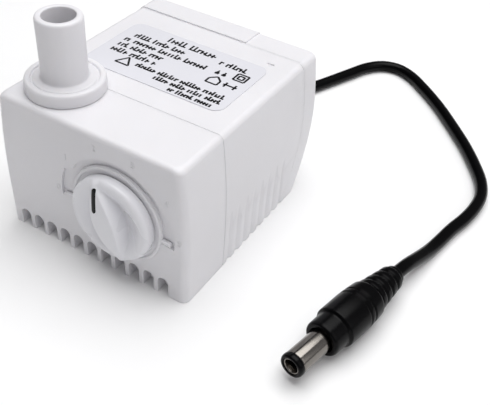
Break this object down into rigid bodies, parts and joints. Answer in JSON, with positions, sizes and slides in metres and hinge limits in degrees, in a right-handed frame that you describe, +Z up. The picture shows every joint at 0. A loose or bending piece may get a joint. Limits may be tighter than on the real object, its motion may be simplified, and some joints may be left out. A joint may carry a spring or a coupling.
{
  "type": "fountain submersible pump",
  "caption": "Small box-shaped submersible fountain pump with a top outlet tube, front flow dial, slotted intake and a short lead with a coaxial plug.",
  "frame": {"origin": "bottom centre of the pump with its dial, on the surface it stands on; the lead and plug are not counted", "axes": "+X to the pump's right seen from the dial, +Y from the dial to the rear cover, +Z up along the outlet tube"},
  "size_m": [0.0974, 0.1301, 0.0548],
  "materials": {
    "casing": "moulded white ABS, fine satin",
    "dial": "moulded white ABS, polished",
    "ink": "black inlay",
    "inner_plastic": "grey moulded ABS",
    "impeller": "blue moulded polypropylene",
    "magnet": "plastic-bonded ferrite",
    "ceramic": "ground alumina",
    "rubber": "nitrile rubber",
    "lamination": "stamped laminations",
    "bobbin": "moulded nylon",
    "copper": "enamelled copper wire",
    "wire": "insulated hook-up wire",
    "resin": "cast epoxy",
    "label": "clear printed film",
    "cord": "black extruded and moulded PVC",
    "nickel": "nickel-plated brass"
  },
  "bodies": {
    "pump": {"motor_housing": "casing", "rear_cover": "casing", "pump_chamber": "inner_plastic", "inlet_plate": "inner_plastic", "ceramic_shaft": "ceramic", "front_bush": "rubber", "rear_bush": "rubber", "stator_core": "lamination", "coil_bobbin_left": "bobbin", "coil_bobbin_right": "bobbin", "coil_winding_left": "copper", "coil_winding_right": "copper", "lead_wire_left": "wire", "lead_wire_right": "wire", "potting_resin": "resin", "rating_label": "label", "cord_gland": "cord", "power_cord": "cord", "plug_grip": "cord", "plug_strain_relief": "cord", "plug_insulator": "cord", "plug_barrel": "nickel", "plug_contact": "nickel"},
    "cover": {"front_cover": "casing"},
    "dial": {"flow_dial": "dial", "dial_pointer": "ink", "flow_shutter": "inner_plastic"},
    "rotor": {"impeller": "impeller", "rotor_magnet": "magnet", "rotor_sleeve": "inner_plastic"},
    "outlet": {"outlet_nozzle": "casing", "nozzle_o_ring": "rubber"}
  },
  "joints": [
    {"name": "cover_pull", "type": "slide", "parent": "pump", "child": "cover", "axis": [0, -1, 0], "range_m": [0, 0.02]},
    {"name": "dial_turn", "type": "hinge", "parent": "cover", "child": "dial", "pos_m": [0.0075, -0.0268, 0.018], "axis": [0, 1, 0], "range_deg": [-72, 108]},
    {"name": "rotor_spin", "type": "hinge", "parent": "pump", "child": "rotor", "pos_m": [0, -0.005, 0.018], "axis": [0, 1, 0], "continuous": true},
    {"name": "outlet_pull", "type": "slide", "parent": "pump", "child": "outlet", "axis": [0, 0, 1], "range_m": [0, 0.008]}
  ]
}
